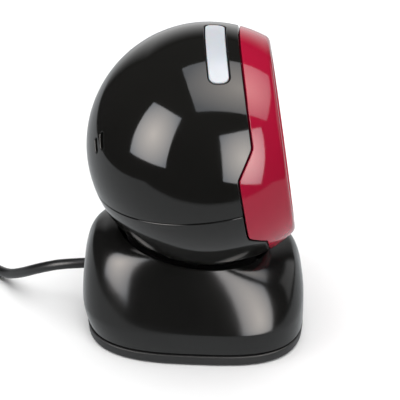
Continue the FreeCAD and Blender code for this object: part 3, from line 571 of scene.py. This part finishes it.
def lip_profile():
    """The lip's section: the ball's skin, the rounded front, the opening and back behind the window."""
    skin = [(BALL_RADIUS * math.cos(turn), BALL_RADIUS * math.sin(turn))
            for turn in spaced(LIP_TURN, ROUNDING_TURN, 4)]
    front = [(ROUNDING_RADIUS + FRONT_ROUNDING * math.cos(turn),
              ROUNDING_LEVEL + FRONT_ROUNDING * math.sin(turn))
             for turn in spaced(ROUNDING_TURN, math.pi / 2, 10)]
    seat, back = WINDOW_FRONT + 0.05, 30.0
    inside = filleted([front[-1], (OPENING_RADIUS + 2.2, FRONT_PLANE), (OPENING_RADIUS, seat),
                       (WINDOW_RADIUS + 0.3, seat), (WINDOW_RADIUS + 0.3, back), (skin[0][0] - 1.0, back)],
                      [0, 0.9, 0.3, 0, 0, 0])
    return skin + front[1:] + inside[1:]


def make_bezel():
    """The crimson ring: the ball's skin up to the seam, then a turned lip around the window."""
    surface = trimmed_ball(bezel_region, BEZEL_EDGE)
    skin, faces, normals = surface.thick(bezel_region, BEZEL_EDGE, WALL, open_edge=on_lip_edge)
    lip, lip_faces = turned(lip_profile(), 240)
    add_piece("bezel_skin", "head", "bezel_crimson", skin, faces, normals, HEAD_PLACE, ["front_bezel"])
    add_piece("bezel_lip", "head", "bezel_crimson", lip, lip_faces, place=FRONT_PLACE)


def bar_region(point):
    return -bar_distance(point)


def make_light_bar():
    surface = ball_surface()
    surface.refine(bar_region, 5.0, 1)
    surface.refine(bar_region, 2.0, 2)
    surface.trim(bar_region, BAR_EDGE)
    points, faces, normals = surface.thick(bar_region, BAR_EDGE, BAR_DEPTH)
    add_piece("light_bar", "head", "light_bar", points, faces, normals, HEAD_PLACE, ["led_light_pipe"])


def make_window():
    middle, back = 0.01, WINDOW_FRONT - 2
    profile = filleted([(middle, WINDOW_FRONT), (WINDOW_RADIUS, WINDOW_FRONT), (WINDOW_RADIUS, back),
                        (middle, back)], [0, 0.3, 0.3, 0])
    points, faces = turned(profile, 160)
    add_piece("window", "head", "window_dark", points, faces, place=FRONT_PLACE, replaces=["scan_window"])


make_shell("rear_shell_visual", rear_region)
make_shell("lower_shell_visual", lower_region)
make_bezel()
make_light_bar()
make_window()


# ---------------------------------------------------------------- base
RIM_DISTANCE = CUP_RADIUS * math.cos(CUP_HALF_ANGLE)
RIM_RADIUS = CUP_RADIUS * math.sin(CUP_HALF_ANGLE)
RIM_Y = BALL_CENTRE.y + RIM_DISTANCE * math.sin(RAKE)
RIM_Z = BALL_CENTRE.z - RIM_DISTANCE * math.cos(RAKE)
# The wall's way in from the widest level up to the rim: powers of the share for its ends, sides and corners.
FRONT_CURVE = ((0.35, 2), (0.65, 10))
SIDE_POWER, CORNER_POWER = 1.15, 2
# The skirt below draws in and shifts forward by this much at its foot, with a power of the share for each.
SKIRT_INSET, SKIRT_POWER, SKIRT_SHIFT_POWER = 1.2, 1.58, 1.26


def rounded_square(turn, depth, width, power):
    """A point on a superellipse of these half sizes, in the turn's direction. The front is a little wider."""
    c, s = math.cos(turn), math.sin(turn)
    reach = (abs(c / width) ** power + abs(s / depth) ** power) ** (-1 / power)
    return reach * c * (1 - BASE_TAPER * reach * s / depth), reach * s


def base_point(turn, share):
    """The cover's outside. A share below 0 is the skirt under the widest level, 1 is the cup's rim."""
    if share < 0:
        inset = SKIRT_INSET * (-share) ** SKIRT_POWER
        x, y = rounded_square(turn, BASE_DEPTH - inset, BASE_WIDTH - inset, BASE_POWER)
        level = WIDE_LEVEL + share * (WIDE_LEVEL - COVER_BOTTOM)
        return Vector((x, y - SKIRT_INSET * (-share) ** SKIRT_SHIFT_POWER, level))
    front_inward = sum(part * share ** power for part, power in FRONT_CURVE)
    x, y = rounded_square(turn, BASE_DEPTH + (RIM_RADIUS - BASE_DEPTH) * front_inward,
                          BASE_WIDTH + (TOP_WIDTH - BASE_WIDTH) * share ** SIDE_POWER,
                          BASE_POWER + (TOP_POWER - BASE_POWER) * share ** CORNER_POWER)
    level = WIDE_LEVEL + (RIM_Z - WIDE_LEVEL) * share + math.tan(RAKE) * share * y
    return Vector((x, y + RIM_Y * share, level))


def round_surface(outside, low, high, rows):
    """A closed band whose mesh runs round (cos, sin) and up a share."""
    mesh = bmesh.new()
    columns = 200
    turns = [2 * math.pi * k / columns for k in range(columns)]
    grid = []
    for row in range(rows + 1):
        share = low + (high - low) * row / rows
        grid.append([mesh.verts.new((math.cos(turn), math.sin(turn), share)) for turn in turns])
    for row in range(rows):
        for k in range(columns):
            after = (k + 1) % columns
            mesh.faces.new([grid[row][k], grid[row][after], grid[row + 1][after], grid[row + 1][k]])
    bmesh.ops.triangulate(mesh, faces=mesh.faces)

    def point(place):
        return outside(math.atan2(place.y, place.x), place.z)

    def normal(place):
        turn, share, step = math.atan2(place.y, place.x), place.z, 0.002
        round_it = outside(turn + step, share) - outside(turn - step, share)
        up_it = outside(turn, share + step) - outside(turn, share - step)
        return round_it.cross(up_it).normalized()

    return Surface(mesh, point, normal)


def cover_region(point):
    cup_gap, cord_hole = 0.3, 4.2
    outside_cup = (point - BALL_CENTRE).length - CUP_RADIUS - cup_gap
    above_plate = point.z - COVER_BOTTOM
    clear_of_cord = math.hypot(point.x, point.z - CORD_LEVEL) - cord_hole if point.y > 0 else FAR_OFF
    return min(outside_cup, above_plate, clear_of_cord)


def make_cover():
    surface = round_surface(base_point, -1.08, 1.12, 56)
    surface.refine(cover_region, 1.6, 2)
    surface.trim(cover_region, COVER_EDGE)
    points, faces, normals = surface.thick(cover_region, COVER_EDGE, WALL)
    add_piece("cover", "base", "cover_black", points, faces, normals, replaces=["base_cover"])


def lofted(rings, closed=False):
    """Points and faces through rings of equally many points: flat ends, or joined round where closed."""
    count = len(rings[0])
    points = [point for ring in rings for point in ring]
    faces = []
    for row in range(len(rings) if closed else len(rings) - 1):
        low, high = row * count, (row + 1) % len(rings) * count
        for k in range(count):
            after = (k + 1) % count
            faces.append([low + k, low + after, high + after, high + k])
    if not closed:
        faces.append(list(reversed(range(count))))
        faces.append([(len(rings) - 1) * count + k for k in range(count)])
    return points, faces


def combined(shapes):
    """Several shapes' points and faces as one."""
    points, faces = [], []
    for shape_points, shape_faces in shapes:
        faces += [[len(points) + index for index in face] for face in shape_faces]
        points += shape_points
    return points, faces


def moved(shape, place):
    points, faces = shape
    return [place @ point for point in points], faces


def carve(piece, shape):
    """Cuts a closed shape out of a finished piece."""
    points, faces = shape
    mesh = bpy.data.meshes.new("carving")
    mesh.from_pydata([point * MM for point in points], [], faces)
    tool = put("carving", mesh)
    carving = piece.modifiers.new("carving", "BOOLEAN")
    carving.operation = "DIFFERENCE"
    carving.solver = "EXACT"
    carving.object = tool
    view = bpy.context.evaluated_depsgraph_get()
    carved = bpy.data.meshes.new_from_object(piece.evaluated_get(view))
    piece.modifiers.remove(carving)
    bpy.data.objects.remove(tool)
    carved.shade_smooth()
    carved.set_sharp_from_angle(angle=SHARP_BEND)
    piece.data = carved


# A lathe's innermost radius, next to its axis.
ON_AXIS = 0.001
FOOT_TOP, FOOT_RADIUS, FOOT_RECESS = 1.6, 5.9, 6.0


def make_plate():
    """A shallow tray with rounded edges, with recesses underneath for its screws and feet."""
    centre = Vector((0, -1.0, 0))
    flat, steps = -30, 240
    levels = filleted([(flat, PLATE_BOTTOM), (-1.0, PLATE_BOTTOM), (-0.6, PLATE_TOP), (flat, PLATE_TOP)],
                      [0, 1.1, 0.6, 0], steps=6)
    rings = []
    for inset, level in levels:
        ring = [rounded_square(2 * math.pi * k / steps, BASE_DEPTH + inset - 0.3, BASE_WIDTH + inset,
                               BASE_POWER) for k in range(steps)]
        rings.append([Vector((x, y, level)) + centre for x, y in ring])
    points, faces = lofted(rings)
    plate = add_piece("bottom_plate", "base", "inner_black", points, faces, replaces=["base_bottom_plate"])
    below, bevel = -1, PLATE_BOTTOM + 0.4
    head, bore, seat, through = 3.0, 1.4, 3.0, 7
    screw_hole = turned([(ON_AXIS, below), (head + 0.4, below), (head, bevel), (head, seat), (bore, seat),
                         (bore, through), (ON_AXIS, through)], 32, closed=True)
    foot_hole = turned([(ON_AXIS, below), (FOOT_RECESS + 0.4, below), (FOOT_RECESS, bevel),
                        (FOOT_RECESS, FOOT_TOP), (ON_AXIS, FOOT_TOP)], 48, closed=True)
    post_circle, post_drop = 11.5, 0.2
    post_places = [Vector((post_circle * math.cos(turn), BALL_CENTRE.y + post_circle * math.sin(turn),
                           -post_drop)) for turn in spaced(math.pi / 4, 7 * math.pi / 4, 3)]
    cutters = [moved(screw_hole, Matrix.Translation(place)) for place in COVER_SCREWS + post_places]
    cutters += [moved(foot_hole, Matrix.Translation(place)) for place in FEET]
    carve(plate, combined(cutters))


def make_feet():
    """Four round pads, rounded where they meet the table, with a shallow ring groove."""
    groove = 0.35
    profile = filleted([(ON_AXIS, FOOT_TOP), (FOOT_RADIUS, FOOT_TOP), (FOOT_RADIUS, 0.0), (4.6, 0.0),
                        (4.3, groove), (3.7, groove), (3.4, 0.0), (ON_AXIS, 0.0)],
                       [0, 0.2, 0.35, 0.1, 0.15, 0.15, 0.1, 0])
    pads = [moved(turned(profile, 64), Matrix.Translation(place)) for place in FEET]
    points, faces = combined(pads)
    add_piece("feet", "base", "foot_rubber", points, faces, replaces=["rubber_feet"])


def make_grommet():
    """The ring that the cord comes out of: a flange inside the cover and a softly flared mouth."""
    bore, mouth, neck, flange = CORD / 2 + 0.1, CORD / 2 + 0.8, 4.1, 6.0
    flange_end, end = 44.8, 51.2
    profile = filleted([(bore, CORD_START), (flange, CORD_START), (flange, flange_end), (neck, flange_end),
                        (neck, end), (mouth, end), (bore, 49.0)],
                       [0, 0.4, 0.4, 0.2, 0.5, 0.3, 0.5], closed=True)
    to_rear = Matrix.Translation((0, 0, CORD_LEVEL)) @ Matrix.Rotation(-math.pi / 2, 4, "X")
    points, faces = turned(profile, 96, closed=True)
    add_piece("grommet", "base", "cable_black", points, faces, place=to_rear, replaces=["cord_grommet"])


make_cover()
make_plate()
make_feet()
make_grommet()


# ---------------------------------------------------------------- cord
CORD_ROUTE = [(0, CORD_START, CORD_LEVEL), (0, 61, CORD_LEVEL), (7.5, 76, 21.5), (17, 85, 13),
              (29.5, 94.5, 4.4), (43.5, 106, 2.5), (49.5, 120, 2.9), (50.5, 132.5, 3.5)]
CORD_TAIL = [(8, 174.5, 11.5), (-6, 174.5, 4), (-14, 174.5, 4), (-20, 174.5, 4)]
# Each turn's (column, row) in the bundle: the cord comes in low on the outside and leaves high on the outside.
TURNS = [(2, 0), (1, 0), (0, 0), (0, 1), (0, 2), (1, 2), (1, 1), (2, 1), (2, 2)]


def coil_points():
    """The coil's turns. Each steps to its next place a little earlier than the one before, so none touch."""
    lap, shift = math.radians(328), math.radians(28)
    laps, points_per_lap = 8, 24
    last = math.radians(90 + laps * 360)
    count = laps * points_per_lap + points_per_lap // 4
    made = []
    for k in range(count + 1):
        turn = last * k / count
        index = min(int(turn / lap), len(TURNS) - 1)
        into = turn - index * lap
        share = min(into / shift, 1.0) if index else 1.0
        before, now = TURNS[max(index - 1, 0)], TURNS[index]
        radius = COIL_RADII[before[0]] * (1 - share) + COIL_RADII[now[0]] * share
        level = COIL_ROWS[before[1]] * (1 - share) + COIL_ROWS[now[1]] * share
        made.append(COIL_CENTRE + Vector((radius * math.cos(turn), radius * math.sin(turn), level)))
    return made


def make_cord():
    route = [Vector(point) for point in CORD_ROUTE] + coil_points() + [Vector(point) for point in CORD_TAIL]
    curve = bpy.data.curves.new("cord", "CURVE")
    curve.dimensions = "3D"
    curve.bevel_depth = CORD / 2 * MM
    curve.bevel_resolution = 6
    curve.resolution_u = 6
    curve.use_fill_caps = True
    spline = curve.splines.new("NURBS")
    spline.points.add(len(route) - 1)
    for point, place in zip(spline.points, route):
        point.co = (*(place * MM), 1)
    spline.order_u = 3
    spline.use_endpoint_u = True
    cord = put("cord", curve)
    cord.data.materials.append(MATERIALS["cable_black"])
    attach(cord, "base")
    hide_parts("cord_tube", "cord_coil", "cord_tail")
    return cord


PLUG_Y, PLUG_Z = 174.5, 4.0
GRIP_START, GRIP_END, PLUG_END = -18.0, -44.0, -56.0
ALONG_X = Matrix.Translation((0, PLUG_Y, PLUG_Z)) @ Matrix.Rotation(-math.pi / 2, 4, "Y")


def rounded_ring(half_width, half_height, radius, level):
    """A rectangle with round corners, at a level along its own Z."""
    made, steps = [], 6
    for quarter, (sx, sy) in enumerate(((1, 1), (-1, 1), (-1, -1), (1, -1))):
        middle = Vector((sx * (half_width - radius), sy * (half_height - radius), level))
        for step in range(steps + 1):
            turn = (quarter + step / steps) * math.pi / 2
            made.append(middle + Vector((math.cos(turn), math.sin(turn), 0)) * radius)
    return made


def make_plug_grip():
    """The moulded grip: it swells from the cord, has four finger grooves and ends square at the metal shell.

    Each section is (distance along, half width, half height).
    """
    sections = [(0.0, 3.0, 3.0), (0.3, 3.5, 3.3), (1.5, 4.6, 3.6), (3.0, 6.4, 3.85), (5.0, 7.5, 4.0),
                (7.0, 7.9, 4.0)]
    for groove in range(4):
        start = 9.0 + 2.6 * groove
        sections += [(start, 8.0, 4.0), (start + 0.35, 7.55, 3.6), (start + 1.05, 7.55, 3.6),
                     (start + 1.4, 8.0, 4.0)]
    sections += [(24.8, 8.0, 4.0), (25.6, 7.8, 3.85), (26.0, 7.3, 3.4)]
    rings = [rounded_ring(height, width, min(2.6, height - 0.1), along) for along, width, height in sections]
    points, faces = lofted(rings)
    place = Matrix.Translation((GRIP_START, 0, 0)) @ ALONG_X
    return add_piece("plug_grip", "base", "cable_black", points, faces, place=place,
                     replaces=["usb_plug_grip"])


def make_plug_shell():
    """The folded metal shell: a rounded square tube, open at its end, with a latch hole above and below."""
    outer, inner, length = (2.25, 6.0, 0.7), (1.85, 5.6, 0.35), GRIP_END - PLUG_END
    rings = [rounded_ring(*inner, 0.0), rounded_ring(*outer, 0.0), rounded_ring(*outer, length - 0.25),
             rounded_ring(2.12, 5.87, 0.6, length), rounded_ring(1.95, 5.7, 0.4, length),
             rounded_ring(*inner, length - 0.2)]
    points, faces = lofted(rings, closed=True)
    place = Matrix.Translation((GRIP_END, 0, 0)) @ ALONG_X
    shell = add_piece("plug_shell", "base", "plug_nickel", points, faces, place=place,
                      replaces=["usb_plug_shell"])
    half_hole, hole_place, hole_offset = 1.1, GRIP_END - 6.2, 2.6
    punch = lofted([rounded_ring(half_hole, half_hole, 0.25, level) for level in (-5, 5)])
    holes = [moved(punch, Matrix.Translation((hole_place, PLUG_Y + side * hole_offset, PLUG_Z)))
             for side in (-1, 1)]
    carve(shell, combined(holes))
    return shell


def make_plug_tongue():
    """The white tongue inside the shell, and the four gilt contacts on it."""
    low, high, half_width, length = 2.15, 4.05, 5.55, 11.0
    middle = Matrix.Translation((0, PLUG_Y, (low + high) / 2)) @ Matrix.Rotation(-math.pi / 2, 4, "Y")
    half = (high - low) / 2
    rings = [rounded_ring(half, half_width, 0.15, 0), rounded_ring(half, half_width, 0.15, length - 0.3),
             rounded_ring(half - 0.2, 5.35, 0.12, length)]
    points, faces = lofted(rings)
    tongue = add_piece("plug_tongue", "base", "connector_white", points, faces,
                       place=Matrix.Translation((GRIP_END, 0, 0)) @ middle, replaces=["usb_plug_tongue"])
    strips, contact_pitch = [], 2.3
    for index, reach in enumerate((10.2, 9.2, 9.2, 10.2)):
        y = PLUG_Y + (index - 1.5) * contact_pitch
        half_strip = reach / 2
        strip = lofted([rounded_ring(half_strip, 0.5, 0.2, high - 0.1),
                        rounded_ring(half_strip, 0.5, 0.2, high + 0.1),
                        rounded_ring(half_strip - 0.08, 0.42, 0.15, high + 0.16)])
        strips.append(moved(strip, Matrix.Translation((GRIP_END - half_strip - 0.3, y, 0))))
    points, faces = combined(strips)
    contacts = add_piece("plug_contacts", "base", "brass", points, faces)
    return tongue, contacts


def make_tie():
    """A hook and loop strap round the coil's bundle: a rounded loop."""
    middle = Vector((COIL_CENTRE.x - COIL_RADII[1] + 0.2, COIL_CENTRE.y, COIL_ROWS[1] + 0.1))
    stand = Matrix.Translation(middle) @ Matrix.Rotation(math.pi / 2, 4, "X")
    outer, inner = (8.7, 8.5, 3.2), (7.95, 7.7, 2.5)
    half, rounding = 4.0, 0.25
    rings = [rounded_ring(*inner, -half), rounded_ring(*outer, -half + rounding),
             rounded_ring(*outer, half - rounding), rounded_ring(*inner, half)]
    points, faces = lofted(rings, closed=True)
    return add_piece("coil_tie", "base", "tie_fabric", points, faces, place=stand, replaces=["cord_tie"])


cord = make_cord()
plug_tongue, plug_contacts = make_plug_tongue()
cord_end = [make_plug_grip(), make_plug_shell(), plug_tongue, plug_contacts, make_tie()]
# The coil lies outside the picture, so the gloss shells don't mirror the cord.
for piece in [cord, *cord_end]:
    piece.visible_glossy = False


# ---------------------------------------------------------------- stage and light
def emission(name, centre, edge, strength, spread=1.6, border=0.0):
    """Light that goes from its centre colour to its edge colour, and fades out over its border."""
    material = bpy.data.materials.new(name)
    material.use_nodes = True
    tree = material.node_tree
    tree.nodes.clear()
    uv = add_node(tree, "TexCoord")
    mapping = add_node(tree, "Mapping", Location=(-1, -1, 0), Scale=(2, 2, 1))
    tree.links.new(uv.outputs["UV"], mapping.inputs["Vector"])
    length = add_node(tree, "VectorMath", operation="LENGTH")
    tree.links.new(mapping.outputs["Vector"], length.inputs[0])
    mixed = add_node(tree, "Mix", data_type="RGBA")
    mixed.inputs["A"].default_value = (*centre, 1)
    mixed.inputs["B"].default_value = (*edge, 1)
    tree.links.new(ranged(tree, length.outputs["Value"], 0, 1, 0.0, spread), mixed.inputs["Factor"])
    light = add_node(tree, "Emission", Strength=strength)
    tree.links.new(mixed.outputs["Result"], light.inputs["Color"])
    if border:
        sides = add_node(tree, "SeparateXYZ")
        tree.links.new(mapping.outputs["Vector"], sides.inputs["Vector"])
        reach = []
        for axis in ("X", "Y"):
            size = add_node(tree, "Math", operation="ABSOLUTE")
            tree.links.new(sides.outputs[axis], size.inputs[0])
            fade = add_node(tree, "MapRange", interpolation_type="SMOOTHSTEP", From_Min=1 - border,
                            From_Max=1.0, To_Min=strength, To_Max=0.0)
            tree.links.new(size.outputs["Value"], fade.inputs["Value"])
            reach.append(fade.outputs["Result"])
        least = add_node(tree, "Math", operation="MINIMUM")
        tree.links.new(reach[0], least.inputs[0])
        tree.links.new(reach[1], least.inputs[1])
        tree.links.new(least.outputs["Value"], light.inputs["Strength"])
    output = add_node(tree, "OutputMaterial")
    tree.links.new(light.outputs["Emission"], output.inputs["Surface"])
    return material


def towards(azimuth, elevation):
    a, e = math.radians(azimuth), math.radians(elevation)
    return Vector((math.cos(a) * math.cos(e), math.sin(a) * math.cos(e), math.sin(e)))


def card(name, corners, material):
    """A four-cornered panel with a UV square over it, seen only in reflections."""
    mesh = bpy.data.meshes.new(name)
    steps = 8
    points, faces = [], []
    for row in range(steps + 1):
        for column in range(steps + 1):
            u, v = column / steps, row / steps
            points.append(corners[0] * (1 - u) * (1 - v) + corners[1] * u * (1 - v)
                          + corners[2] * u * v + corners[3] * (1 - u) * v)
    for row in range(steps):
        for column in range(steps):
            start = row * (steps + 1) + column
            faces.append((start, start + 1, start + steps + 2, start + steps + 1))
    mesh.from_pydata(points, [], faces)
    layer = mesh.uv_layers.new(name="UVMap")
    for loop in mesh.loops:
        row, column = divmod(loop.vertex_index, steps + 1)
        layer.data[loop.index].uv = (column / steps, row / steps)
    panel = put(name, mesh)
    mesh.materials.append(material)
    for kind in ("camera", "shadow", "diffuse", "transmission"):
        setattr(panel, "visible_" + kind, False)


BALL = BALL_CENTRE * MM
WARM, COOL = (1.0, 0.93, 0.87), (0.33, 0.345, 0.37)


def soft_box(name, corners, strength):
    """A soft box whose corners lie in these directions from the ball: (azimuth, elevation) pairs."""
    distance, spread = 1.3, 1.3
    rays = [towards(*corner) for corner in corners]
    facing = sum(rays, Vector()).normalized()
    spots = [BALL + ray * (distance / ray.dot(facing)) for ray in rays]
    card(name, spots, emission(name, WARM, COOL, strength, spread))


soft_box("left_box", [(104, 1), (141, 1), (144, 46), (99, 43)], 12)
soft_box("right_box", [(-168, -7), (-134, -15), (-122, 30), (-169, 34)], 11)
overhead = [Vector((0.30, 0.42, 1.2)), Vector((-0.79, 0.28, 1.2)), Vector((-0.75, -1.8, 1.2)),
            Vector((0.66, -1.2, 1.2))]
card("overhead_box", [BALL + corner for corner in overhead], emission("overhead", WARM, COOL, 6, 1.2))
UNDER_FLOOR = -0.0005
table = [Vector((x, y, UNDER_FLOOR)) for x, y in ((-0.24, -0.32), (1.0, -0.6), (1.0, 0.6), (-0.24, 0.32))]
card("table_reflection", table,
     emission("table_glow", (0.95, 0.98, 1), (0.86, 0.89, 0.91), 0.65, 1.4, 0.07))
wall = [Vector((0.9, y, z)) for y, z in ((-0.75, -0.8), (0.75, -0.8), (0.75, 0.8), (-0.75, 0.8))]
card("back_reflection", wall, emission("back_glow", (1, 1, 1), (0.9, 0.9, 0.9), 1.0, 1.2, 0.8))

side = [Vector((x, y, z)) for x, y, z in ((0.9, -0.75, 0.0), (-0.1, -1.0, 0.0), (-0.1, -1.0, 0.5),
                                          (0.9, -0.75, 0.5))]
card("side_reflection", side, emission("side_glow", (1, 1, 1), (0.9, 0.9, 0.9), 0.7, 1.2, 0.3))


def make_stage():
    """A pale floor and a pale surround, and soft light from above that reflections don't show."""
    size = 4.0
    mesh = bpy.data.meshes.new("floor")
    mesh.from_pydata([(-size, -size, 0), (size, -size, 0), (size, size, 0), (-size, size, 0)], [],
                     [(0, 1, 2, 3)])
    floor = put("floor", mesh)
    material, tree, shader = new_material("floor_paper")
    shader.inputs["Roughness"].default_value = 0.9
    shader.inputs["Specular IOR Level"].default_value = 0.1
    tree.links.new(blended(tree, object_noise(tree, 3), (0.90, 0.90, 0.90), (0.92, 0.92, 0.92)),
                   shader.inputs["Base Color"])
    mesh.materials.append(material)
    floor.visible_glossy = False
    surround_mesh = bpy.data.meshes.new("surround")
    builder = bmesh.new()
    bmesh.ops.create_icosphere(builder, subdivisions=4, radius=5)
    builder.to_mesh(surround_mesh)
    builder.free()
    surround = put("surround", surround_mesh)
    surround_mesh.materials.append(emission("surround_white", (1, 1, 1), (1, 1, 1), 1.0))
    for kind in ("glossy", "diffuse", "transmission", "shadow", "volume_scatter"):
        setattr(surround, "visible_" + kind, False)
    world = bpy.data.worlds.new("studio")
    bpy.context.scene.world = world
    world.use_nodes = True
    world.node_tree.nodes["Background"].inputs["Color"].default_value = (0.03, 0.03, 0.031, 1)
    fills = (("top_fill", (0, 0, 2.2), 3.0, 75), ("front_fill", (-1.6, -0.8, 1.6), 1.5, 14),
             ("side_fill", (-0.6, 1.7, 1.4), 1.5, 12))
    for name, place, size, power in fills:
        light = bpy.data.lights.new(name, "AREA")
        light.shape = "DISK"
        light.size = size
        light.energy = power
        lamp = put(name, light)
        lamp.location = place
        lamp.rotation_euler = (Vector(place) - BALL).to_track_quat("Z", "Y").to_euler()
        lamp.visible_glossy = False
        lamp.visible_camera = False


make_stage()
bpy.context.scene.view_settings.view_transform = "Standard"
